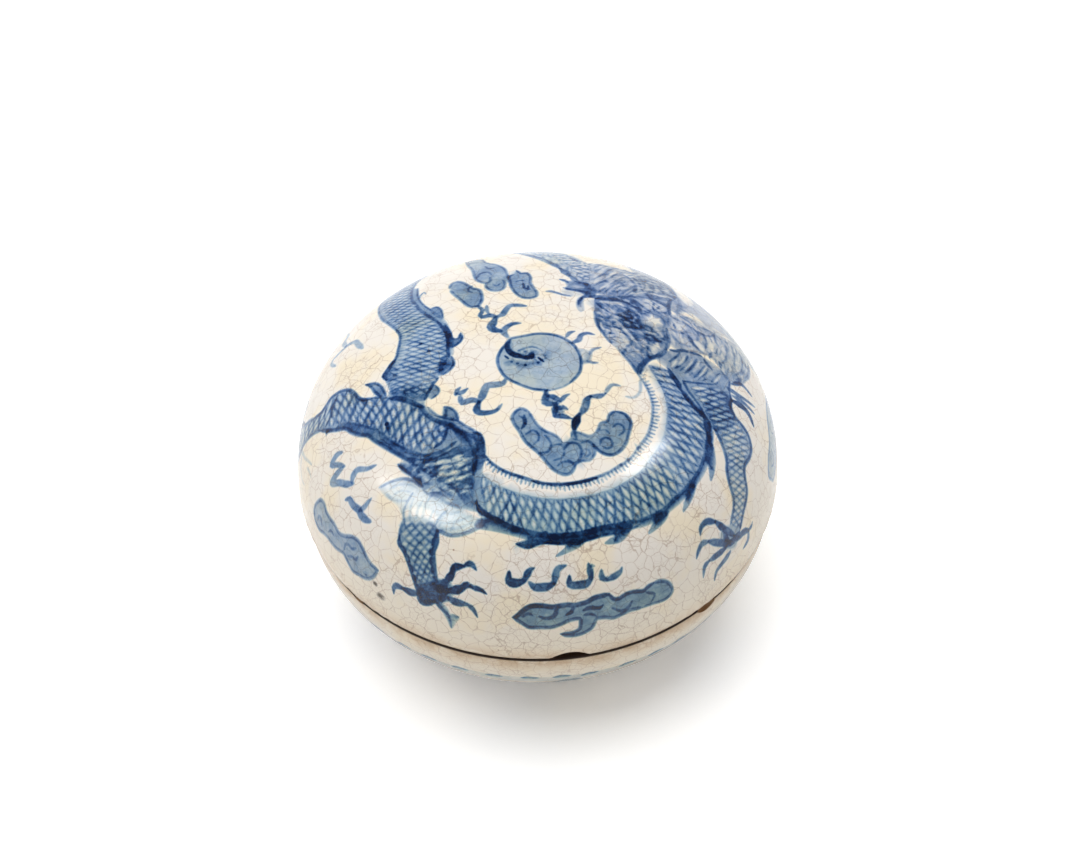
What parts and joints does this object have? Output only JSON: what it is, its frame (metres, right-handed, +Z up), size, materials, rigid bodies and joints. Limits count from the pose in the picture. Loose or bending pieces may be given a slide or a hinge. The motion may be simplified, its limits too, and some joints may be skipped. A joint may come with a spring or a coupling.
{
  "type": "seal paste box",
  "caption": "Round footed porcelain box for seal paste, with a domed lift-off cover seated over a flange and a mound of red paste inside.",
  "frame": {"origin": "centre of the foot ring, on the plane the box stands on", "axes": "+Z up along the box's axis; -Y is the side that the picture looks at, and the cover's chipped rim faces it"},
  "size_m": [0.08, 0.08, 0.0503],
  "materials": {
    "painted_glaze": "gloss",
    "cinnabar_paste": "satin"
  },
  "bodies": {
    "base": {"base": "painted_glaze", "seal_paste": "cinnabar_paste"},
    "cover": {"cover": "painted_glaze"}
  },
  "joints": [
    {"name": "cover_lift", "type": "slide", "parent": "base", "child": "cover", "axis": [0, 0, 1], "range_m": [0, 0.05]}
  ]
}
